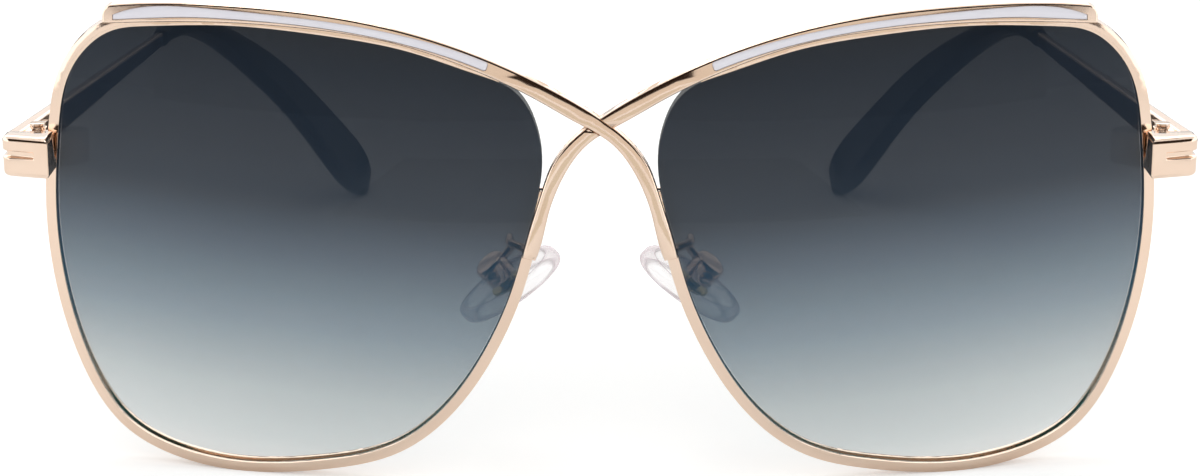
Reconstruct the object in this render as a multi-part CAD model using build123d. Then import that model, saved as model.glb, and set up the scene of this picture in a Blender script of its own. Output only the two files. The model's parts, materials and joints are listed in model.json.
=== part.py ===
"""Butterfly sunglasses: a metal front with crossing strips, tinted lenses and folding temples.

The front is drawn in its own frame: X across, Z up the lens, Y back from the lens.
The wearer's right side is drawn, on -X, and the left side is its mirror image.
The finished glasses lean so that they stand on both rims and both temple tips.
"""
import os
from math import asin, atan2, cos, degrees, radians, sin, sqrt, tan

from build123d import *

# Lenses
lens_width = 59.7
lens_height = 56.1
lens_gap = 13.6
lens_thickness = 1.8
lens_base_radius = 132.0
wrap_angle = 9.0
lens_play = 0.05
tongue_reach = 0.45
tongue_thickness = 0.8

# Eyewire, the thin rim in two arcs
rim_width = 1.3
rim_depth = 2.1
rim_proud = 0.15
groove_play = 0.05
rim_split = 0.16

# Crossing strips and their enamel
strip_thickness = 1.4
strip_round = 0.3
strip_end_round = 1.4
inlay_depth = 0.4
inlay_sink = 0.06
inlay_round = 0.35

# End piece, a ribbed block at each temple
end_overhang = 4.25
end_width = 5.95
end_height = 4.9
end_depth = 5.0
end_sweep = 1.9
end_corner_round = 1.5
end_edge_round = 0.6
rib_groove_lift = 0.35
rib_groove_height = 0.8
rib_groove_depth = 0.45
rib_plain_width = 1.9

# Temple hinge, three knuckles on one screw
hinge_set_back = 2.9
hinge_reach = 3.4
knuckle_radius = 1.1
knuckle_play = 0.05
hinge_height = 4.4
hinge_middle_height = 1.6
hinge_swing_play = 0.1
hinge_leaf_thickness = 0.75
hinge_leaf_length = 6.0
hinge_leaf_height = 3.4
hinge_screw_radius = 0.6
hinge_bore_play = 0.05
hinge_head_radius = 0.95
hinge_head_height = 0.5

# Rim lock, the block that closes the eyewire
lock_depth = 2.1
lock_height = 4.2
lock_leaf_gap = 0.05
lock_screw_radius = 0.4
lock_screw_inset = 0.75
lock_head_radius = 0.65
lock_head_height = 0.4

# Temple bar with its core, and the tip over the core
temple_slope = 3.7
temple_inward_angle = 6.2
temple_thickness = 1.7
temple_height = 4.5
temple_gap = 0.12
bar_end_thickness = 1.2
bar_end_height = 1.9
bar_round = 0.35
sleeve_start = 66.5
drop_start = 70.5
drop_radius = 52.0
drop_angle = 52.5
turn_start = 79.0
turn_radius = 54.0
turn_angle = 33.5
temple_reach = 123.2
core_radius = 0.5
core_end_gap = 7.0
sleeve_width = 9.2
sleeve_thickness = 3.0

# Nose pads, each rocking on a screw in its box
pad_length = 15.0
pad_width = 8.0
pad_thickness = 2.2
pad_round = 0.8
pad_out = 4.3
pad_back = 9.5
insert_length = 5.0
insert_width = 3.2
insert_thickness = 0.5
insert_cover = 0.6
stem_width = 1.8
stem_thickness = 1.1
stem_play = 0.12
stem_rock_room = 0.3
box_radius = 2.0
box_height = 2.7
box_lift = 0.55
box_round = 0.5
pad_screw_radius = 0.45
pad_screw_play = 0.04
pad_head_radius = 0.75
pad_head_height = 0.35

# Pad arms, bent wires from the eyewire to the boxes
arm_radius = 0.5
arm_bend_radius = 0.9
arm_lead_back = 3.4
arm_loop_out = 2.1
arm_loop_rise = 0.3
arm_loop_front = 4.8
arm_loop_back = 7.0
arm_turn_out = 1.8
arm_turn_drop = 1.6
arm_turn_back = 9.4

overrun = 1.0
cut_reach = 40.0
outline_stations = 72

# Outlines as shares. Across: 0 is the middle of the bridge, 1 the nasal edge and 2 the temporal edge
# of a lens, with the wearer's right negative. Up: 0 is the bottom and 1 the top of the lens.
lens_outline_shares = [
    (-1.000, 0.717), (-1.012, 0.805), (-1.055, 0.879), (-1.122, 0.911), (-1.265, 0.960), (-1.436, 0.989),
    (-1.618, 1.000), (-1.794, 0.987), (-1.864, 0.972), (-1.919, 0.931), (-1.957, 0.875), (-1.987, 0.743),
    (-2.000, 0.557), (-1.987, 0.384), (-1.947, 0.216), (-1.862, 0.069), (-1.767, 0.019), (-1.631, 0.000),
    (-1.462, 0.020), (-1.317, 0.066), (-1.198, 0.174), (-1.116, 0.311), (-1.059, 0.458), (-1.032, 0.561),
]
strip_top_shares = [
    (-1.880, 1.028), (-1.780, 1.042), (-1.602, 1.047), (-1.439, 1.037), (-1.273, 1.007), (-1.136, 0.962),
    (-1.013, 0.905), (-0.010, 0.829), (0.479, 0.783), (0.846, 0.724), (0.993, 0.677), (1.015, 0.624),
    (1.032, 0.564), (1.041, 0.526),
]
strip_low_shares = [
    (-1.880, 0.990), (-1.775, 1.002), (-1.616, 1.011), (-1.476, 1.007), (-1.279, 0.978), (-1.109, 0.916),
    (-1.013, 0.867), (-0.506, 0.825), (-0.010, 0.792), (0.170, 0.777), (0.550, 0.722), (0.751, 0.674),
    (0.892, 0.625), (0.996, 0.570), (1.015, 0.520),
]
inlay_top_shares = [
    (-1.858, 1.012), (-1.790, 1.034), (-1.695, 1.040), (-1.577, 1.036), (-1.475, 1.029), (-1.253, 0.994),
    (-1.104, 0.944),
]
inlay_low_shares = [
    (-1.858, 1.001), (-1.775, 1.011), (-1.695, 1.018), (-1.616, 1.019), (-1.476, 1.013), (-1.279, 0.982),
    (-1.110, 0.925),
]
bare_across_share = -1.085
bare_up_share = 0.665
end_up_share = 0.698
pad_up_share = 0.398
arm_across_share = -1.035
arm_up_share = 0.518

# Sections of a tip: share of its run, then of its width and of its thickness
sleeve_section_shares = [
    (0.00, 0.27, 0.75), (0.22, 0.30, 0.85), (0.45, 0.41, 0.95), (0.62, 0.60, 1.00),
    (0.78, 0.80, 1.00), (0.90, 0.99, 1.00), (0.97, 0.92, 0.90), (1.00, 0.60, 0.60),
]
core_section_shares = [0.00, 0.25, 0.50, 0.70, 0.85, 1.00]
sleeve_corner_share = 0.45

# A pad's length runs outwards and down, and its face turns its box outwards and up
pad_length_direction = (-0.784, 0.200, -0.591)
pad_face_direction = (-0.624, -0.198, 0.760)

half_gap = lens_gap / 2
temporal_edge = half_gap + lens_width
bulge_reach = half_gap + lens_width / 2 - lens_base_radius * sin(radians(wrap_angle))
rim_back = rim_depth - rim_proud
strip_front = -rim_proud - strip_thickness
groove_front = (lens_thickness - tongue_thickness) / 2
groove_back = groove_front + tongue_thickness


def front_point(across, up):
    """A point of an outline, in the plane of the front."""
    side = -1 if across < 0 else 1
    beyond = max(abs(across) - 1, 0)
    return side * (min(abs(across), 1) * half_gap + beyond * lens_width), (up - 0.5) * lens_height


def bulge_at(x, z):
    """How far behind its foremost point the lens front lies, at a place of the front."""
    aside = max(abs(x) - bulge_reach, 0)
    return lens_base_radius - sqrt(lens_base_radius**2 - aside**2 - z**2)


def bulge(depth):
    """A round-ended body whose skin lies at a depth behind the lens front."""
    radius = lens_base_radius - depth
    half = Polyline((-bulge_reach, radius), (bulge_reach, radius))
    half += JernArc((bulge_reach, radius), (1, 0), radius, -90)
    half += JernArc((-bulge_reach, radius), (-1, 0), radius, 90)
    half += Line((-bulge_reach - radius, 0), (bulge_reach + radius, 0))
    return Pos(0, lens_base_radius, 0) * revolve(make_face(half), Axis.X, 360)


def through(face):
    """An outline of the front, carried through it from front to back."""
    return extrude(Plane.XZ * face, cut_reach, both=True)


def curved(face, front, back):
    """An outline of the front between two depths behind the lens front."""
    return (through(face) & bulge(front)) - bulge(back)


def band(top_shares, low_shares):
    """The face between an upper and a lower edge curve."""
    top = Spline(*[front_point(*share) for share in top_shares])
    low = Spline(*[front_point(*share) for share in low_shares])
    return make_face(top + low + Line(top @ 0, low @ 0) + Line(top @ 1, low @ 1))


def on_skin(edge, depth):
    """Whether an edge lies all along at a depth behind the lens front."""
    for place in (edge @ 0, edge @ 0.5, edge @ 1):
        aside = max(abs(place.X) - bulge_reach, 0)
        reach = sqrt(aside**2 + place.Z**2 + (lens_base_radius - place.Y)**2)
        if abs(reach - lens_base_radius + depth) > lens_play:
            return False
    return True


def span(x_range, y_range, z_range):
    """A block between two places on each axis."""
    sizes = [high - low for low, high in (x_range, y_range, z_range)]
    middles = [(high + low) / 2 for low, high in (x_range, y_range, z_range)]
    return Pos(*middles) * Box(*sizes)


def post(radius, low, high):
    """A round post along Z between two heights."""
    return Pos(0, 0, (low + high) / 2) * Cylinder(radius, high - low)


def mirrored(shape):
    return mirror(shape, about=Plane.YZ)


def lens_outline(outset):
    """The face inside the lens outline, moved outwards all round."""
    points = []
    for station in range(outline_stations):
        along = lens_curve % (station / outline_stations)
        points.append(lens_curve @ (station / outline_stations) + Vector(along.Y, -along.X) * outset)
    return make_face(Spline(*points, periodic=True))


# The lens outline, the eyewire round it and the corner of the lens that stays rimless
lens_curve = Spline(*[front_point(*share) for share in lens_outline_shares], periodic=True)
rim_face = lens_outline(rim_width)
rim_body = curved(rim_face, -rim_proud, rim_back)
bare_x, bare_z = front_point(bare_across_share, bare_up_share)
bare_corner = span((bare_x, 0), (-cut_reach, cut_reach), (bare_z, lens_height))

# Frames of the end piece and of the temple, both on the hinge axis
end_outside = temporal_edge + rim_width + end_overhang
bar_inside = knuckle_radius + hinge_swing_play
inward = radians(temple_inward_angle)
axis_x = (bar_inside + temple_thickness) * cos(inward) + hinge_reach * sin(inward) - end_outside
axis_z = front_point(-2, end_up_share)[1]
axis_y = bulge_at(temporal_edge, axis_z) + hinge_set_back
end_frame = Location((axis_x, axis_y, axis_z), (-temple_slope, 0, 0))
temple_frame = end_frame * Location((0, 0, 0), (0, 0, -temple_inward_angle))


def lens():
    """A lens with a tongue round its edge that sits in the eyewire's groove."""
    pane = curved(lens_outline(-lens_play), 0, lens_thickness)
    tongue = curved(lens_outline(tongue_reach), groove_front, groove_back)
    return pane + (tongue - bare_corner)


def eyewire_arcs():
    """The upper and the lower arc of an eyewire, split at the rim lock."""
    ring = rim_body - through(lens_outline(0)) - bare_corner
    groove_face = lens_outline(tongue_reach + groove_play)
    ring -= curved(groove_face, groove_front - groove_play, groove_back + groove_play)
    reach = end_width + end_depth
    ring -= end_frame * span((-reach, reach), (-reach, reach), (-rim_split / 2, rim_split / 2))
    lower, upper = ring.solids().sort_by(Axis.Z)
    return upper, lower


def strips_and_inlay():
    """The strip on top, the one that it is halved into, and the enamel in the first one's channel."""
    face = band(strip_top_shares, strip_low_shares)
    temporal_top = face.vertices().group_by(Axis.X)[0].sort_by(Axis.Y)[-1]
    face = fillet(temporal_top, strip_end_round)
    blank = curved(face, strip_front, -rim_proud)
    blank = fillet([edge for edge in blank.edges() if on_skin(edge, strip_front)], strip_round)
    inlay_face = band(inlay_top_shares, inlay_low_shares)
    inlay_face = fillet(inlay_face.vertices().sort_by(Axis.X)[-2:], inlay_round)
    blank -= through(inlay_face) - bulge(strip_front + inlay_depth)
    halved = bulge(strip_front + strip_thickness / 2)
    over = blank - (through(mirrored(face)) & halved)
    under = mirrored(blank) - (through(face) - halved)
    return over, under, curved(inlay_face, strip_front + inlay_sink, strip_front + inlay_depth)


def end_plan(inset):
    """The end piece seen from above, with its outer and front sides moved in."""
    inside = end_width - end_outside - axis_x
    outside = inset - end_outside - axis_x
    front = inset - hinge_reach - end_depth
    corners = [(inside, -hinge_reach), (outside, -hinge_reach), (outside, front + end_sweep), (inside, front)]
    face = make_face(Polyline(*corners, close=True))
    outer_corner = face.vertices().sort_by(Axis.X)[:2].sort_by(Axis.Y)[0]
    return fillet(outer_corner, end_corner_round - inset)


def end_piece():
    """The block before the hinge, with a groove between two ribs that wraps its outer corner."""
    half = end_height / 2
    block = extrude(end_plan(0), half, both=True)
    brims = block.edges().group_by(Axis.Z)[0] + block.edges().group_by(Axis.Z)[-1]
    block = fillet([edge for edge in brims if edge.center().Y < -hinge_reach - overrun / 2], end_edge_round)
    groove_end = end_width - end_outside - axis_x - rib_plain_width
    reach = end_width + end_depth
    low = rib_groove_lift - rib_groove_height / 2
    groove = span((-reach, groove_end), (-reach, -hinge_reach), (low, low + rib_groove_height))
    block -= groove - extrude(end_plan(rib_groove_depth), half, both=True)
    return end_frame * block - (through(rim_face) & bulge(-rim_proud))


def rim_lock():
    """The two halves of the block that closes the eyewire, and the screw that joins them."""
    low_x = -knuckle_radius + hinge_leaf_thickness + lock_leaf_gap
    high_x = -temporal_edge - axis_x
    depths = (-hinge_reach, -hinge_reach + lock_depth)
    top = lock_height / 2
    screw_place = Pos(low_x + lock_screw_inset, -hinge_reach + lock_depth / 2, 0)
    screw = screw_place * post(lock_screw_radius, -top, top)
    upper = span((low_x, high_x), depths, (rim_split / 2, top)) - screw
    lower = span((low_x, high_x), depths, (-top, -rim_split / 2)) - screw
    head = screw_place * post(lock_head_radius, -top - lock_head_height, -top)
    return end_frame * upper - rim_body, end_frame * lower - rim_body, end_frame * (screw + head)


def hinge():
    """The leaf on the end piece, the leaf on the temple, and the screw through their knuckles."""
    top = hinge_height / 2
    middle = hinge_middle_height / 2
    swing = bar_inside
    leaf = (-knuckle_radius, -knuckle_radius + hinge_leaf_thickness)
    front = span(leaf, (-hinge_reach, 0), (-top, top)) + post(knuckle_radius, -top, top)
    front -= post(swing, -middle - knuckle_play, middle + knuckle_play)
    front -= post(hinge_screw_radius, -top, top)
    half = hinge_leaf_height / 2
    plate = (-bar_inside, -bar_inside + hinge_leaf_thickness)
    back = span(plate, (0, hinge_leaf_length), (-half, half)) - post(swing, -half, -middle) - post(swing, middle, half)
    back = back + post(knuckle_radius, -middle, middle)
    back -= post(hinge_screw_radius + hinge_bore_play, -middle, middle)
    screw = post(hinge_screw_radius, -top, top) + post(hinge_head_radius, top, top + hinge_head_height)
    return end_frame * front, temple_frame * back, end_frame * screw


def bend(run, start, radius, angle):
    """Offset and slope, at a run, of a line that is straight, then an arc, then straight again."""
    arc_run = radius * sin(radians(angle))
    turned = asin(min(max(run - start, 0), arc_run) / radius)
    return radius * (1 - cos(turned)) + max(run - start - arc_run, 0) * tan(turned), tan(turned)


def section_plane(run):
    """The plane across a temple at a run behind its hinge, its own X up the temple's side."""
    turn, turn_slope = bend(run, turn_start, turn_radius, turn_angle)
    drop, drop_slope = bend(run, drop_start, drop_radius, drop_angle)
    place = (turn - bar_inside - temple_thickness / 2, run, -drop)
    return Plane(origin=place, x_dir=(0, drop_slope, 1), z_dir=(turn_slope, 1, -drop_slope))


def temple_bar():
    """The bar that tapers back from the hinge, in one piece with the core wire of its tip."""
    front = section_plane(-hinge_reach - overrun) * RectangleRounded(temple_height, temple_thickness, bar_round)
    back = section_plane(sleeve_start) * RectangleRounded(bar_end_height, bar_end_thickness, bar_round)
    core_run = temple_reach - core_end_gap - sleeve_start
    runs = [sleeve_start + share * core_run for share in core_section_shares]
    core = loft([section_plane(run) * Circle(core_radius) for run in runs])
    end_side = (-cut_reach, cut_reach)
    before = end_frame * span(end_side, (-cut_reach, temple_gap - hinge_reach), end_side)
    return temple_frame * (loft([front, back], ruled=True) + core) - before, temple_frame * core


def temple_tip(core):
    """The sleeve over the core, which widens and flattens to a paddle behind the ear."""
    sections = []
    for run_share, width_share, thickness_share in sleeve_section_shares:
        thickness = thickness_share * sleeve_thickness
        outline = RectangleRounded(width_share * sleeve_width, thickness, sleeve_corner_share * thickness)
        sections.append(section_plane(sleeve_start + run_share * (temple_reach - sleeve_start)) * outline)
    return temple_frame * loft(sections) - core


def nose_pad_group():
    """A pad with its insert, the box and screw that it rocks on, and the arm from the eyewire."""
    centre = (-half_gap - pad_out, pad_back, front_point(-1, pad_up_share)[1])
    frame = Plane(origin=centre, x_dir=pad_length_direction, z_dir=pad_face_direction).location
    face = pad_thickness / 2
    box_low = face + box_lift
    box_top = box_low + box_height
    screw_z = box_low + box_height / 2
    across = Pos(0, 0, screw_z) * Rot(-90, 0, 0)

    stem_low = face - insert_cover - insert_thickness
    stem_side = (-stem_width / 2, stem_width / 2)
    cheeks = (-stem_thickness / 2, stem_thickness / 2)
    insert = Pos(0, 0, stem_low) * extrude(Ellipse(insert_length / 2, insert_width / 2), insert_thickness)
    insert += span(stem_side, cheeks, (stem_low, screw_z)) + across * post(stem_width / 2, *cheeks)
    pad = extrude(Ellipse(pad_length / 2, pad_width / 2), face, both=True)
    pad = fillet(pad.edges(), pad_round) - insert
    insert -= across * post(pad_screw_radius + pad_screw_play, -box_radius, box_radius)

    slot = stem_thickness / 2 + stem_play
    room = stem_width / 2 + stem_rock_room
    solid_box = post(box_radius, box_low, box_top)
    box = fillet(solid_box.edges().sort_by(Axis.Z)[-1], box_round)
    box -= span((-room, room), (-slot, slot), (box_low, screw_z + stem_width / 2 + stem_play))
    seat = box_radius - pad_head_height
    screw = across * (post(pad_screw_radius, -seat, seat) + post(pad_head_radius, seat, box_radius))
    box -= across * (post(pad_screw_radius, -seat, seat) + post(pad_head_radius, seat, box_radius + overrun))

    start_x, start_z = front_point(arm_across_share, arm_up_share)
    box_place = (frame * Pos(0, 0, screw_z)).position
    path = FilletPolyline(
        (start_x, groove_front, start_z),
        (start_x, arm_lead_back, start_z),
        (start_x - arm_loop_out, arm_loop_front, start_z + arm_loop_rise),
        (start_x - arm_loop_out, arm_loop_back, start_z + arm_loop_rise),
        (start_x - arm_turn_out, arm_turn_back, start_z - arm_turn_drop),
        (box_place.X, box_place.Y, box_place.Z),
        radius=arm_bend_radius,
    )
    arm = sweep(Plane(origin=path @ 0, z_dir=path % 0) * Circle(arm_radius), path)
    arm = arm - rim_body - frame * solid_box
    return frame * pad, frame * insert, frame * box, frame * screw, arm


def model():
    """Every piece by its node name, in the frame of the front."""
    pieces = {}
    strip_over, strip_under, inlay = strips_and_inlay()
    eyewire_upper, eyewire_lower = eyewire_arcs()
    lock_upper, lock_lower, lock_screw = rim_lock()
    hinge_front, hinge_temple, hinge_screw = hinge()
    bar, core = temple_bar()
    pad, insert, box, pad_screw, arm = nose_pad_group()
    sided = {
        "lens": lens(),
        "eyewire_upper": eyewire_upper,
        "eyewire_lower": eyewire_lower,
        "enamel_inlay": inlay,
        "end_piece": end_piece(),
        "rim_lock_upper": lock_upper,
        "rim_lock_lower": lock_lower,
        "rim_lock_screw": lock_screw,
        "hinge_front": hinge_front,
        "hinge_temple": hinge_temple,
        "hinge_screw": hinge_screw,
        "temple_bar": bar,
        "temple_tip": temple_tip(core),
        "nose_pad": pad,
        "pad_insert": insert,
        "pad_box": box,
        "pad_screw": pad_screw,
        "pad_arm": arm,
    }
    for name, shape in sided.items():
        pieces[name + "_right"] = shape
        pieces[name + "_left"] = mirrored(shape)
    pieces["brow_strip_over"] = strip_over
    pieces["brow_strip_under"] = strip_under
    return pieces


def standing(pieces):
    """The frame that stands the glasses on rims and tips, over the middle of their own footprint."""
    lean = 0.0
    for _ in range(3):
        heights = [(Rot(lean, 0, 0) * pieces[name]).bounding_box().min.Z
                   for name in ("eyewire_lower_right", "temple_tip_right")]
        lean += degrees(atan2(heights[0] - heights[1], temple_reach))
    boxes = [(Rot(lean, 0, 0) * shape).bounding_box() for shape in pieces.values()]
    front = min(box.min.Y for box in boxes)
    back = max(box.max.Y for box in boxes)
    return Pos(0, -(front + back) / 2, -min(box.min.Z for box in boxes)) * Rot(lean, 0, 0)


pieces = model()
stand = standing(pieces)
os.makedirs("parts", exist_ok=True)
for name, shape in pieces.items():
    export_step(stand * shape, "parts/" + name + ".step")
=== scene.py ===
import json
from math import hypot, radians

import bpy
from mathutils import Matrix, Vector
from mathutils.kdtree import KDTree


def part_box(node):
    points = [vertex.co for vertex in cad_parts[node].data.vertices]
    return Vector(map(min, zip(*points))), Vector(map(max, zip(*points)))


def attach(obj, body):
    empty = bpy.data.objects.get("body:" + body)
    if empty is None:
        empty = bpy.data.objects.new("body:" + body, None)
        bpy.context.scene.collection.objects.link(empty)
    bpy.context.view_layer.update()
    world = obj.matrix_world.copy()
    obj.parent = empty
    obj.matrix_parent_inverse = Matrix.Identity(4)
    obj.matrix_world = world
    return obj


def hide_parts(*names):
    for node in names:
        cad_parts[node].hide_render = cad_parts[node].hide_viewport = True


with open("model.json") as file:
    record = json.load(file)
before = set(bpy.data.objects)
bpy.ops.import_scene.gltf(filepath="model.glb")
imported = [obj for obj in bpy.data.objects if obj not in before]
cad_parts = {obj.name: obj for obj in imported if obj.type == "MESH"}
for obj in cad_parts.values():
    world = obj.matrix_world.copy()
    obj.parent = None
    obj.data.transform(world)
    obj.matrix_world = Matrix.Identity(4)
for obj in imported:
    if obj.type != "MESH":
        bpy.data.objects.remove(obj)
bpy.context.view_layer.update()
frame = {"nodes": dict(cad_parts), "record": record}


# The camera: a level long lens a third of a metre before the glasses and a little above them, as in
# the photograph. It looks down at the bridge by seventeen degrees.
CAMERA_PLACE = (0.0, -0.39125, 0.13230)
CAMERA_TILT = 90 - 17.07
FOCAL_LENGTH = 85.56
SENSOR_WIDTH = 36.0

bpy.ops.object.camera_add(location=CAMERA_PLACE, rotation=(radians(CAMERA_TILT), 0, 0))
camera = bpy.context.object
camera.data.lens = FOCAL_LENGTH
camera.data.sensor_width = SENSOR_WIDTH
bpy.context.scene.camera = camera
bpy.context.scene.view_settings.view_transform = "Standard"


# The table and the room: one sheet of white paper that the glasses stand on, in a white light tent.
# It shows as pure white to the camera and through the lenses, and takes a soft shadow.
PAPER = "F4F4F3"
PAPER_SIZE = 3.0
PAPER_ROUGHNESS = 0.9
PAPER_LIFT = 0.24
PAPER_GLEAM = 0.05
ROOM_LIGHT = 0.90
WHITE = (1, 1, 1, 1)


def linear(code):
    """An sRGB hex colour as the linear numbers that a shader takes, by the sRGB standard's curve."""
    values = [int(code[place:place + 2], 16) / 255 for place in (0, 2, 4)]
    curved = [value / 12.92 if value <= 0.04045 else ((value + 0.055) / 1.055) ** 2.4 for value in values]
    return curved + [1]


def add_node(tree, kind, values=None, links=None, **settings):
    """A shader node with its settings, its sockets' values and what feeds its sockets."""
    node = tree.nodes.new("ShaderNode" + kind)
    for name, setting in settings.items():
        setattr(node, name, setting)
    for name, value in (values or {}).items():
        node.inputs[name].default_value = value
    for name, source in (links or {}).items():
        tree.links.new(source, node.inputs[name])
    return node


def new_finish(name):
    """An empty material, its node tree and its output node."""
    material = bpy.data.materials.new(name)
    material.use_nodes = True
    tree = material.node_tree
    tree.nodes.clear()
    return material, tree, tree.nodes.new("ShaderNodeOutputMaterial")


def cover(thing, material):
    """Puts one material all over a piece."""
    thing.data.materials.clear()
    thing.data.materials.append(material)


def deselect():
    """Leaves nothing selected."""
    for thing in bpy.context.selected_objects:
        thing.select_set(False)


def rays_of(tree, *kinds):
    """One for the rays of these kinds and zero for the rest."""
    rays = add_node(tree, "LightPath")
    found = rays.outputs[kinds[0]]
    for kind in kinds[1:]:
        either = add_node(tree, "Math", {}, {0: found, 1: rays.outputs[kind]}, operation="MAXIMUM")
        found = either.outputs[0]
    return found


paper, tree, out = new_finish("white_paper")
matt = add_node(tree, "BsdfDiffuse", {"Color": linear(PAPER), "Roughness": PAPER_ROUGHNESS})
seen = add_node(tree, "Math", {1: PAPER_LIFT},
                {0: rays_of(tree, "Is Camera Ray", "Is Transmission Ray")}, operation="MULTIPLY")
mirrored = add_node(tree, "Math", {1: PAPER_GLEAM},
                    {0: rays_of(tree, "Is Glossy Ray")}, operation="MULTIPLY")
lift = add_node(tree, "Math", {}, {0: seen.outputs[0], 1: mirrored.outputs[0]}, operation="ADD")
glow = add_node(tree, "Emission", {"Color": WHITE}, {"Strength": lift.outputs[0]})
lit = add_node(tree, "AddShader", {}, {0: matt.outputs[0], 1: glow.outputs[0]})
tree.links.new(lit.outputs[0], out.inputs["Surface"])

deselect()
bpy.ops.mesh.primitive_plane_add(size=PAPER_SIZE, location=(0, 0, 0))
floor = bpy.context.object
floor.name = "floor"
cover(floor, paper)

world = bpy.data.worlds.new("light_tent")
bpy.context.scene.world = world
world.use_nodes = True
tree = world.node_tree
tree.nodes.clear()
room = add_node(tree, "Background", {"Color": WHITE, "Strength": ROOM_LIGHT})
white = add_node(tree, "Background", {"Color": WHITE, "Strength": 1.0})
seen = rays_of(tree, "Is Camera Ray", "Is Transmission Ray", "Is Glossy Ray")
mixed = add_node(tree, "MixShader", {}, {0: seen, 1: room.outputs[0], 2: white.outputs[0]})
out = tree.nodes.new("ShaderNodeOutputWorld")
tree.links.new(mixed.outputs[0], out.inputs["Surface"])


# The lamps and cards: a softbox above and one low behind the glasses, which draw white lines along
# their upper edges, and cards that only gloss shows: above and behind the camera, on the table and at
# each side. Each has its place, width and height, and then its power or its colour and strength.
LAMP_AIM = Vector((0, -0.05, 0.03))
CARD_FLAT_BELOW = 0.01
SOFTBOXES = {
    "softbox_above": ((-0.15, -0.02, 0.80), 0.40, 0.40, 1.1),
    "softbox_behind": ((0.0, 0.85, 0.42), 1.30, 0.40, 1.8),
}
CARDS = {
    "black_card": ((0.0, -0.357, 0.359), 1.4, 0.60, "2C221D", 1.0),
    "grey_card": ((0.0, -0.90, 0.10), 1.6, 0.26, "FFF8EE", 0.82),
    "dark_card": ((0.0, 0.235, 0.001), 0.5, 0.28, "4A4038", 1.0),
    "tan_card": ((0.0, -0.275, 0.001), 0.15, 0.18, "E2DFD4", 1.0),
    "white_card_right": ((-0.85, 0.05, 0.30), 1.6, 0.58, "FFFFFF", 1.7),
    "white_card_left": ((0.85, 0.05, 0.30), 1.6, 0.58, "FFFFFF", 1.7),
}


def facing(place):
    """The turn that faces a lamp or card at the glasses."""
    return (LAMP_AIM - Vector(place)).to_track_quat("-Z", "Y").to_euler()


for name, (place, width, height, power) in SOFTBOXES.items():
    bpy.ops.object.light_add(type="AREA", location=place, rotation=facing(place))
    lamp = bpy.context.object
    lamp.name = name
    lamp.data.shape = "RECTANGLE"
    lamp.data.size = width
    lamp.data.size_y = height
    lamp.data.energy = power
    lamp.visible_camera = False
    lamp.visible_transmission = False

for name, (place, width, height, colour, strength) in CARDS.items():
    deselect()
    flat = place[2] < CARD_FLAT_BELOW
    bpy.ops.mesh.primitive_plane_add(size=1, location=place, rotation=(0, 0, 0) if flat else facing(place))
    card = bpy.context.object
    card.name = name
    card.scale = (width, height, 1)
    board, tree, out = new_finish(name + "_board")
    glow = add_node(tree, "Emission", {"Color": linear(colour), "Strength": strength})
    tree.links.new(glow.outputs[0], out.inputs["Surface"])
    cover(card, board)
    card.visible_camera = card.visible_diffuse = card.visible_shadow = card.visible_transmission = False


# The lenses: cast nylon, bulged, and dyed by slow lifting out of the bath, so the tint is near black
# at the brow and almost clear at the cheek. Coated against glare, so the room shows only faintly.
# The depths say how much light it holds back at each share of its height, and the tints its colour.
LENS_TILT = 0.085
LENS_DEPTHS = [(0.0, 0.125), (0.035, 0.14), (0.074, 0.19), (0.185, 0.293), (0.352, 0.512), (0.52, 0.69),
               (0.64, 0.82), (0.74, 0.825), (0.93, 0.875), (1.0, 0.88)]
LENS_TINTS = [(0.0, "355648"), (0.074, "296B6B"), (0.185, "24636C"), (0.352, "1F5C74"), (0.52, "28465C"),
              (0.63, "2C3845"), (0.74, "1A2735"), (0.93, "14202D"), (1.0, "111B26")]
LENS_WALL_DEPTH = 0.12
LENS_WALL_TURN = (0.55, 0.75)
LENS_ROUGHNESS = 0.03
LENS_IOR = 1.2
STAIN_SCALE = 40.0
STAIN_SHIFT = 0.02


def set_stops(ramp, stops):
    """Leads a colour ramp through a list of places and colours."""
    for element, (position, colour) in zip(ramp.elements, (stops[0], stops[-1])):
        element.position, element.color = position, colour
    for position, colour in stops[1:-1]:
        ramp.elements.new(position).color = colour


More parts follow.
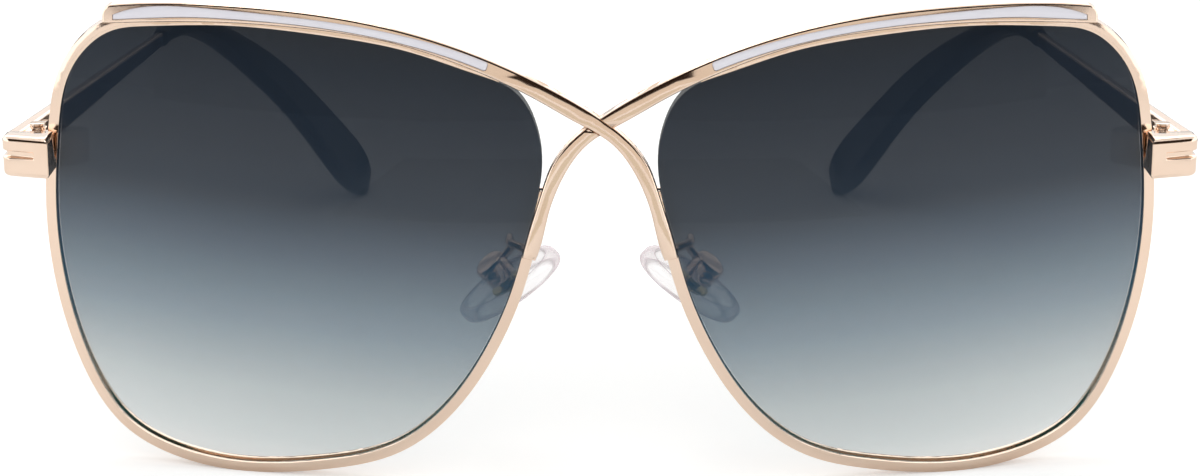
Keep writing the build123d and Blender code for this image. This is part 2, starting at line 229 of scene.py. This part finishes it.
def dyed_lens():
    """The tint follows the height, in bands that rise a little towards the temples and waver by stains
    about 25 mm wide. The lens's edge lets nearly all light through."""
    material, tree, out = new_finish("dyed_nylon_lens")
    low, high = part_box("lens_right")
    middle = (abs(low.x) + abs(high.x)) / 2
    place = add_node(tree, "TexCoord")
    parts = add_node(tree, "SeparateXYZ", {}, {0: place.outputs["Object"]})
    aside = add_node(tree, "Math", {}, {0: parts.outputs["X"]}, operation="ABSOLUTE")
    lean = add_node(tree, "Math", {1: -LENS_TILT}, {0: aside.outputs[0], 2: parts.outputs["Z"]},
                    operation="MULTIPLY_ADD")
    height = add_node(tree, "MapRange",
                      {"From Min": low.z - LENS_TILT * middle, "From Max": high.z - LENS_TILT * middle},
                      {"Value": lean.outputs[0]})
    stains = add_node(tree, "TexNoise", {"Scale": STAIN_SCALE, "Detail": 1.0},
                      {"Vector": place.outputs["Object"]})
    drift = add_node(tree, "Math", {1: STAIN_SHIFT}, {0: stains.outputs["Fac"], 2: height.outputs[0]},
                     operation="MULTIPLY_ADD")
    depth = add_node(tree, "ValToRGB", {}, {0: drift.outputs[0]})
    set_stops(depth.color_ramp, [(at, (value,) * 3 + (1,)) for at, value in LENS_DEPTHS])
    tint = add_node(tree, "ValToRGB", {}, {0: drift.outputs[0]})
    set_stops(tint.color_ramp, [(at, linear(code)) for at, code in LENS_TINTS])
    turn = add_node(tree, "SeparateXYZ", {}, {0: place.outputs["Normal"]})
    face_on = add_node(tree, "Math", {}, {0: turn.outputs["Y"]}, operation="ABSOLUTE")
    wall = add_node(tree, "MapRange", {"From Min": LENS_WALL_TURN[0], "From Max": LENS_WALL_TURN[1],
                                       "To Min": LENS_WALL_DEPTH, "To Max": 1.0},
                    {"Value": face_on.outputs[0]})
    held_back = add_node(tree, "Math", {}, {0: depth.outputs["Color"], 1: wall.outputs[0]},
                         operation="MINIMUM")
    shader = add_node(tree, "BsdfPrincipled", {"Roughness": LENS_ROUGHNESS, "IOR": LENS_IOR},
                      {"Base Color": tint.outputs["Color"], "Alpha": held_back.outputs[0]})
    tree.links.new(shader.outputs[0], out.inputs["Surface"])
    return material


SIDES = ("right", "left")
nodes = frame["nodes"]
lens_finish = dyed_lens()
for side in SIDES:
    cover(nodes["lens_" + side], lens_finish)


# The eyewires: nickel silver drawn through a die with a groove along its inner side, bent round the
# lens and brazed. The die leaves its outer edges round, and tumbling rounds the rest a little.
PALE_GOLD = "F4DDCA"
WORN_GOLD = "ECD0BA"
GOLD_CLOUDS = 160.0
GOLD_HAZE = (0.05, 0.14)
MARK_SCALE = 4000.0
MARK_HEIGHT = 0.000002
MARK_STRENGTH = 0.25
WIRE_EDGE = 0.00022
EDGE_STEPS = 3
EDGE_ANGLE = 35
MERGE_REACH = 0.000002
FLAT_ANGLE = 0.3


def plated_metal():
    """Barrel polished and plated with pale rose gold: mirror bright, with a haze that drifts over 6 mm.
    Polishing marks are a few hundredths of a millimetre wide, and drawn a quarter of one to show."""
    material, tree, out = new_finish("polished_rose_gold_plate")
    place = add_node(tree, "TexCoord")
    cloud = add_node(tree, "TexNoise", {"Scale": GOLD_CLOUDS, "Detail": 3.0},
                     {"Vector": place.outputs["Object"]})
    colour = add_node(tree, "Mix", {"A": linear(PALE_GOLD), "B": linear(WORN_GOLD)},
                      {0: cloud.outputs["Fac"]}, data_type="RGBA")
    haze = add_node(tree, "MapRange", {"To Min": GOLD_HAZE[0], "To Max": GOLD_HAZE[1]},
                    {"Value": cloud.outputs["Fac"]})
    marks = add_node(tree, "TexNoise", {"Scale": MARK_SCALE, "Detail": 2.0},
                     {"Vector": place.outputs["Object"]})
    relief = add_node(tree, "Bump", {"Strength": MARK_STRENGTH, "Distance": MARK_HEIGHT},
                      {"Height": marks.outputs["Fac"]})
    shader = add_node(tree, "BsdfPrincipled", {"Metallic": 1.0},
                      {"Base Color": colour.outputs["Result"], "Roughness": haze.outputs[0],
                       "Normal": relief.outputs[0]})
    tree.links.new(shader.outputs[0], out.inputs["Surface"])
    return material


def on_all_faces(operator, **settings):
    """Runs one mesh operator on all of the active piece."""
    bpy.ops.object.mode_set(mode="EDIT")
    bpy.ops.mesh.select_all(action="SELECT")
    operator(**settings)
    bpy.ops.object.mode_set(mode="OBJECT")


def own_copy(mesh, name):
    """A new piece with its own copy of a mesh, and nothing else selected."""
    deselect()
    piece = bpy.data.objects.new(name, mesh.copy())
    bpy.context.collection.objects.link(piece)
    piece.select_set(True)
    bpy.context.view_layer.objects.active = piece
    return piece


def merged_copy(name):
    """A new piece with the shape of a CAD piece, its loose triangles joined."""
    piece = own_copy(nodes[name].data, name + "_finished")
    on_all_faces(bpy.ops.mesh.remove_doubles, threshold=MERGE_REACH)
    return piece


def flat_faced_copy(name):
    """A merged copy whose flats are one face each."""
    piece = merged_copy(name)
    on_all_faces(bpy.ops.mesh.dissolve_limited, angle_limit=radians(FLAT_ANGLE))
    return piece


def ease(piece, edge, steps):
    """Rounds a piece's sharp edges, as tumbling does."""
    bevel = piece.modifiers.new("eased_edges", "BEVEL")
    bevel.width = edge
    bevel.segments = steps
    bevel.limit_method = "ANGLE"
    bevel.angle_limit = radians(EDGE_ANGLE)
    bpy.ops.object.modifier_apply(modifier=bevel.name)
    bpy.ops.object.shade_smooth_by_angle(angle=radians(EDGE_ANGLE))


def stand_for(piece, name, finish, body):
    """Covers a piece, fixes it to its body and lets it stand for a CAD piece."""
    cover(piece, finish)
    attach(piece, body)
    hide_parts(name)


def eased(name, edge, steps, finish, body):
    """A CAD piece with its sharp edges rounded, standing for that piece."""
    piece = flat_faced_copy(name)
    ease(piece, edge, steps)
    stand_for(piece, name, finish, body)


gold = plated_metal()
for side in SIDES:
    for arc in ("upper", "lower"):
        eased("eyewire_" + arc + "_" + side, WIRE_EDGE, EDGE_STEPS, gold, "front")


# The brow strips: stamped from nickel silver sheet, bent to the lenses' bulge, halved into each other
# at the bridge and brazed to the eyewires. The polishing wheel leaves their fronts a little crowned at
# the bridge, which fades out before the enamel.
CROWN_FADE = (0.0085, 0.0125)


def flatten_brow(strip, cad):
    """Takes the crown out of a strip's shading beside the enamel, where the CAD mesh's normals stay."""
    centres = KDTree(len(cad.polygons))
    for face in cad.polygons:
        centres.insert(face.center, face.index)
    centres.balance()
    start, end = CROWN_FADE
    normals = [corner.vector.copy() for corner in strip.corner_normals]
    for face in strip.polygons:
        twin = cad.polygons[centres.find(face.center)[1]]
        for corner in face.loop_indices:
            point = strip.vertices[strip.loops[corner].vertex_index].co
            match = min(twin.loop_indices,
                        key=lambda spot: (cad.vertices[cad.loops[spot].vertex_index].co - point).length)
            flat = min(1, max(0, (abs(point.x) - start) / (end - start)))
            normals[corner] = normals[corner].lerp(cad.corner_normals[match].vector, flat).normalized()
    strip.normals_split_custom_set(normals)


for name in ("brow_strip_over", "brow_strip_under"):
    strip = merged_copy(name)
    bpy.ops.object.shade_smooth_by_angle(angle=radians(EDGE_ANGLE))
    flatten_brow(strip.data, nodes[name].data)
    stand_for(strip, name, gold, "front")


# The enamel: pale lavender cold enamel, poured into the channels of the brow strips and left glossy.
# It draws down a little along the channel's walls and has a faint milky drift.
ENAMEL_PALE = "EAEAF1"
ENAMEL_DEEP = "E3E0E8"
ENAMEL_CLOUDS = 120.0
ENAMEL_HAZE = (0.08, 0.16)
ENAMEL_IOR = 1.5
ENAMEL_EDGE = 0.00016


def poured_enamel():
    """Two near whites that drift into each other over about 8 mm, and the gloss with them."""
    material, tree, out = new_finish("poured_cold_enamel")
    place = add_node(tree, "TexCoord")
    drift = add_node(tree, "TexNoise", {"Scale": ENAMEL_CLOUDS, "Detail": 2.0},
                     {"Vector": place.outputs["Object"]})
    colour = add_node(tree, "Mix", {"A": linear(ENAMEL_PALE), "B": linear(ENAMEL_DEEP)},
                      {0: drift.outputs["Fac"]}, data_type="RGBA")
    gloss = add_node(tree, "MapRange", {"To Min": ENAMEL_HAZE[0], "To Max": ENAMEL_HAZE[1]},
                     {"Value": drift.outputs["Fac"]})
    shader = add_node(tree, "BsdfPrincipled", {"IOR": ENAMEL_IOR},
                      {"Base Color": colour.outputs["Result"], "Roughness": gloss.outputs[0]})
    tree.links.new(shader.outputs[0], out.inputs["Surface"])
    return material


enamel = poured_enamel()
for side in SIDES:
    eased("enamel_inlay_" + side, ENAMEL_EDGE, EDGE_STEPS, enamel, "front")


# The end pieces: milled nickel silver blocks, brazed to the eyewires, with a groove between two ribs.
# Each rim lock behind is two small blocks, one on each end of the eyewire, drawn together by a screw.
BLOCK_EDGE = 0.00016
LOCK_EDGE = 0.0001
FINE_STEPS = 2

for side in SIDES:
    eased("end_piece_" + side, BLOCK_EDGE, EDGE_STEPS, gold, "front")
    for half in ("upper", "lower"):
        eased("rim_lock_" + half + "_" + side, LOCK_EDGE, FINE_STEPS, gold, "front")


# The screws: turned steel, plated with the frame, with a rounded head and one slot for the driver.
# One closes each rim lock, one is each hinge's pin, and one holds each nose pad in its box.
SCREW_STEEL = "DCCABB"
STEEL_RINGS = 3000.0
STEEL_HAZE = (0.12, 0.26)
SCREW_EDGE = 0.00008
SLOT_REACH = 3
SLOT_SHARE = 0.28
SLOT_DEPTH = 0.00022
END_REACH = 0.00001


def turned_steel():
    """Bright, with the lathe tool's marks left in its gloss. They are finer than a tenth of a
    millimetre, and drawn a third of one to show."""
    material, tree, out = new_finish("plated_turned_steel")
    place = add_node(tree, "TexCoord")
    rings = add_node(tree, "TexNoise", {"Scale": STEEL_RINGS, "Detail": 2.0},
                     {"Vector": place.outputs["Object"]})
    haze = add_node(tree, "MapRange", {"To Min": STEEL_HAZE[0], "To Max": STEEL_HAZE[1]},
                    {"Value": rings.outputs["Fac"]})
    shader = add_node(tree, "BsdfPrincipled", {"Metallic": 1.0, "Base Color": linear(SCREW_STEEL)},
                      {"Roughness": haze.outputs[0]})
    tree.links.new(shader.outputs[0], out.inputs["Surface"])
    return material


def head_of(piece, along):
    """The middle, the outward direction and the radius of a screw's head: the wider of its ends."""
    heights = [vertex.co.dot(along) for vertex in piece.data.vertices]
    ends = []
    for way, limit in ((-1, min(heights)), (1, max(heights))):
        ring = [vertex.co for vertex, height in zip(piece.data.vertices, heights)
                if abs(height - limit) < END_REACH]
        middle = sum(ring, Vector()) / len(ring)
        ends.append((max((point - middle).length for point in ring), middle, along * way))
    return max(ends, key=lambda end: end[0])


def slotted(name, along, finish, body):
    """A CAD screw with a driver's slot across its head."""
    screw = flat_faced_copy(name)
    radius, middle, outward = head_of(screw, along)
    turn = outward.to_track_quat("Z", "Y").to_euler()
    bpy.ops.mesh.primitive_cube_add(size=1, location=middle, rotation=turn)
    cutter = bpy.context.object
    cutter.scale = (SLOT_REACH * radius, SLOT_SHARE * radius, 2 * SLOT_DEPTH)
    bpy.context.view_layer.objects.active = screw
    slot = screw.modifiers.new("driver_slot", "BOOLEAN")
    slot.object = cutter
    bpy.ops.object.modifier_apply(modifier=slot.name)
    bpy.data.objects.remove(cutter)
    deselect()
    screw.select_set(True)
    ease(screw, SCREW_EDGE, FINE_STEPS)
    stand_for(screw, name, finish, body)


steel = turned_steel()
joints = {joint["name"]: joint for joint in frame["record"]["behaviour"]["joints"]}
for side in SIDES:
    hinge_axis = Vector(joints["temple_fold_" + side]["axis"])
    rock_axis = Vector(joints["pad_rock_" + side]["axis"])
    slotted("rim_lock_screw_" + side, hinge_axis, steel, "front")
    slotted("hinge_screw_" + side, hinge_axis, steel, "front")
    slotted("pad_screw_" + side, rock_axis, steel, "front")


# The hinges: milled nickel silver leaves with knuckles, two on the end piece's leaf and one on the
# temple's, soldered on before plating.
HINGE_EDGE = 0.00012

for side in SIDES:
    eased("hinge_front_" + side, HINGE_EDGE, FINE_STEPS, gold, "front")
    eased("hinge_temple_" + side, HINGE_EDGE, FINE_STEPS, gold, "temple_" + side)


# The temples: nickel silver bars, rolled to a taper and edge rounded, in one piece with the core wire
# that the tip is pushed over.
for side in SIDES:
    cover(nodes["temple_bar_" + side], gold)


# The temple tips: dark cellulose acetate, cut from sheet, shot over the core wires warm, bent and
# buffed. The sheet's faint grey streaks run along the tip.
ACETATE = "121317"
ACETATE_STREAK = "25272D"
STREAK_SCALE = (260.0, 60.0, 260.0)
STREAK_WAVE = 0.4
ACETATE_HAZE = (0.12, 0.24)
ACETATE_IOR = 1.48


def buffed_acetate():
    """Streaks about 4 mm wide and 17 mm long in the colour and, faintly, in the gloss."""
    material, tree, out = new_finish("buffed_black_acetate")
    place = add_node(tree, "TexCoord")
    along = add_node(tree, "Mapping", {"Scale": STREAK_SCALE}, {"Vector": place.outputs["Object"]})
    streaks = add_node(tree, "TexNoise", {"Scale": 1.0, "Detail": 3.0, "Distortion": STREAK_WAVE},
                       {"Vector": along.outputs[0]})
    colour = add_node(tree, "Mix", {"A": linear(ACETATE), "B": linear(ACETATE_STREAK)},
                      {0: streaks.outputs["Fac"]}, data_type="RGBA")
    gloss = add_node(tree, "MapRange", {"To Min": ACETATE_HAZE[0], "To Max": ACETATE_HAZE[1]},
                     {"Value": streaks.outputs["Fac"]})
    shader = add_node(tree, "BsdfPrincipled", {"IOR": ACETATE_IOR},
                      {"Base Color": colour.outputs["Result"], "Roughness": gloss.outputs[0]})
    tree.links.new(shader.outputs[0], out.inputs["Surface"])
    return material


acetate = buffed_acetate()
for side in SIDES:
    cover(nodes["temple_tip_" + side], acetate)


# The pad arms and boxes: bent wire of nickel silver, soldered behind the eyewire, with a turned box
# on its end that is slotted for the pad's stem.
BOX_EDGE = 0.0001

for side in SIDES:
    cover(nodes["pad_arm_" + side], gold)
    eased("pad_box_" + side, BOX_EDGE, FINE_STEPS, gold, "front")


# The inserts: brass plates with a stem, stamped and left unplated. The pads are moulded round their
# plates, and their stems rock on the screws in the pad boxes.
INSERT_BRASS = "C4AE76"
BRASS_CLOUDS = 700.0
BRASS_HAZE = (0.22, 0.38)
INSERT_EDGE = 0.00006


def stamped_brass():
    """Bare brass, with a soft gloss that varies over about 1.4 mm as the die left it."""
    material, tree, out = new_finish("stamped_brass")
    place = add_node(tree, "TexCoord")
    cloud = add_node(tree, "TexNoise", {"Scale": BRASS_CLOUDS, "Detail": 2.0},
                     {"Vector": place.outputs["Object"]})
    haze = add_node(tree, "MapRange", {"To Min": BRASS_HAZE[0], "To Max": BRASS_HAZE[1]},
                    {"Value": cloud.outputs["Fac"]})
    shader = add_node(tree, "BsdfPrincipled", {"Metallic": 1.0, "Base Color": linear(INSERT_BRASS)},
                      {"Roughness": haze.outputs[0]})
    tree.links.new(shader.outputs[0], out.inputs["Surface"])
    return material


brass = stamped_brass()
for side in SIDES:
    eased("pad_insert_" + side, INSERT_EDGE, FINE_STEPS, brass, "pad_" + side)


# The nose pads: clear soft vinyl, moulded round the inserts. The skin side is a low dome, and the side
# with the box has a thick bead round a shallow dish. Each step goes inwards and then up or down.
PAD_LENGTH = 0.015
PAD_WIDTH = 0.008
PAD_THICKNESS = 0.0022
PAD_SIDES = 72
PAD_DISH_STEPS = [(0.00006, 0.00026), (0.00014, 0.00022), (0.00024, 0.00016), (0.00034, 0.00006),
                  (0.00030, -0.00008), (0.00020, -0.00020), (0.00020, -0.00012), (0.00080, 0.0)]
PAD_DOME_STEPS = [(0.00006, 0.00026), (0.00014, 0.00020), (0.00030, 0.00014), (0.00055, 0.00007),
                  (0.00070, 0.00003), (0.00080, 0.0)]
PAD_WALL = 0.0008
CAP_FACING = 0.9
PAD_BEAD = (0.00105, 0.0014)
PAD_MARK = "bead"
THIN_VINYL = "F8EFF1"
THICK_VINYL = "E9D3DB"
# The next colour is painted shade: a grey line along the dish's wall, for the light that the wall bends
# away.
DISH_PAINTED_SHADE = "A08C96"
DISH_BODY = 0.32
WALL_GAIN = 4.0
THIN_BODY = (0.02, 0.14)
THICK_BODY = (0.06, 0.60)
VINYL_CLOUDS = 300.0
VINYL_HAZE = (0.05, 0.12)
VINYL_IOR = 1.45


def clear_vinyl():
    """Glossy and nearly clear in its middle. The bead is milkier, most of all edge on. The dish's wall
    between them has a painted grey line of shade, for the light it bends away. The gloss varies over 3 mm."""
    material, tree, out = new_finish("clear_moulded_vinyl")
    place = add_node(tree, "TexCoord")
    drift = add_node(tree, "TexNoise", {"Scale": VINYL_CLOUDS, "Detail": 2.0},
                     {"Vector": place.outputs["Object"]})
    gloss = add_node(tree, "MapRange", {"To Min": VINYL_HAZE[0], "To Max": VINYL_HAZE[1]},
                     {"Value": drift.outputs["Fac"]})
    bead = add_node(tree, "Attribute", attribute_name=PAD_MARK)
    colour = add_node(tree, "Mix", {"A": linear(THIN_VINYL), "B": linear(THICK_VINYL)},
                      {0: bead.outputs["Fac"]}, data_type="RGBA")
    edge_on = add_node(tree, "LayerWeight", {"Blend": 0.5})
    thin = add_node(tree, "MapRange", {"To Min": THIN_BODY[0], "To Max": THIN_BODY[1]},
                    {"Value": edge_on.outputs["Facing"]})
    thick = add_node(tree, "MapRange", {"To Min": THICK_BODY[0], "To Max": THICK_BODY[1]},
                     {"Value": edge_on.outputs["Facing"]})
    body = add_node(tree, "Mix", {}, {0: bead.outputs["Fac"], "A": thin.outputs[0], "B": thick.outputs[0]})
    # The mark times what it lacks of one is a quarter halfway up the wall, and the gain makes that one.
    inside = add_node(tree, "Math", {0: 1.0}, {1: bead.outputs["Fac"]}, operation="SUBTRACT")
    between = add_node(tree, "Math", {}, {0: bead.outputs["Fac"], 1: inside.outputs[0]},
                       operation="MULTIPLY")
    wall = add_node(tree, "Math", {1: WALL_GAIN}, {0: between.outputs[0]}, operation="MULTIPLY")
    # Painted shade: along the dish's wall the colour turns to a grey line and the body thickens there, for
    # the light the wall bends away.
    painted_line_colour = add_node(tree, "Mix", {"B": linear(DISH_PAINTED_SHADE)},
                      {0: wall.outputs[0], "A": colour.outputs["Result"]}, data_type="RGBA")
    full = add_node(tree, "Math", {1: DISH_BODY}, {0: wall.outputs[0], 2: body.outputs["Result"]},
                    operation="MULTIPLY_ADD")
    shader = add_node(tree, "BsdfPrincipled", {"IOR": VINYL_IOR},
                      {"Base Color": painted_line_colour.outputs["Result"], "Roughness": gloss.outputs[0],
                       "Alpha": full.outputs[0]})
    tree.links.new(shader.outputs[0], out.inputs["Surface"])
    return material


def insets(piece, way, steps):
    """Steps inwards from one end of a piece, each step's rim raised or sunk from the last."""
    bpy.ops.object.mode_set(mode="OBJECT")
    for face in piece.data.polygons:
        face.select = face.normal.z * way > CAP_FACING
    # Edit mode keeps the faces that were chosen only if it selects by face.
    bpy.context.tool_settings.mesh_select_mode = (False, False, True)
    bpy.ops.object.mode_set(mode="EDIT")
    for inset, rise in steps:
        bpy.ops.mesh.inset(thickness=inset)
        bpy.ops.transform.translate(value=(0, 0, rise * way))


def mark_bead(pad):
    """Gives each point of a pad one in its thick bead and zero in its thin middle."""
    start, end = PAD_BEAD
    marks = pad.data.attributes.new(PAD_MARK, "FLOAT", "POINT").data
    for vertex, mark in zip(pad.data.vertices, marks):
        reach = hypot(vertex.co.x, vertex.co.y)
        inwards = reach / hypot(2 * vertex.co.x / PAD_LENGTH, 2 * vertex.co.y / PAD_WIDTH) - reach
        mark.value = min(1, max(0, (end - inwards) / (end - start)))


def moulded_pad():
    """A pad in its own frame: its length on X, its box side up."""
    deselect()
    bpy.ops.mesh.primitive_cylinder_add(vertices=PAD_SIDES, radius=0.5, depth=1)
    pad = bpy.context.object
    bpy.ops.object.mode_set(mode="EDIT")
    bpy.ops.mesh.select_all(action="SELECT")
    bpy.ops.transform.resize(value=(PAD_LENGTH, PAD_WIDTH, PAD_WALL))
    insets(pad, 1, PAD_DISH_STEPS)
    insets(pad, -1, PAD_DOME_STEPS)
    bpy.ops.object.mode_set(mode="OBJECT")
    bpy.ops.object.shade_smooth()
    mark_bead(pad)
    return pad


vinyl = clear_vinyl()
rests = {mount["name"]: mount for mount in frame["record"]["mounts"]}
pad_pattern = moulded_pad()
for side in SIDES:
    rest = rests["nose_rest_" + side]
    up = -Vector(rest["axis"]).normalized()
    across = Vector(joints["pad_rock_" + side]["axis"]).normalized()
    along = across.cross(up).normalized()
    middle = Vector(rest["pos_m"]) + up * PAD_THICKNESS / 2
    pad = own_copy(pad_pattern.data, "nose_pad_" + side + "_moulded")
    turn = Matrix((along, up.cross(along), up)).transposed().to_4x4()
    pad.matrix_world = Matrix.Translation(middle) @ turn
    bpy.ops.object.transform_apply(location=True, rotation=True, scale=True)
    stand_for(pad, "nose_pad_" + side, vinyl, "pad_" + side)
bpy.data.objects.remove(pad_pattern)
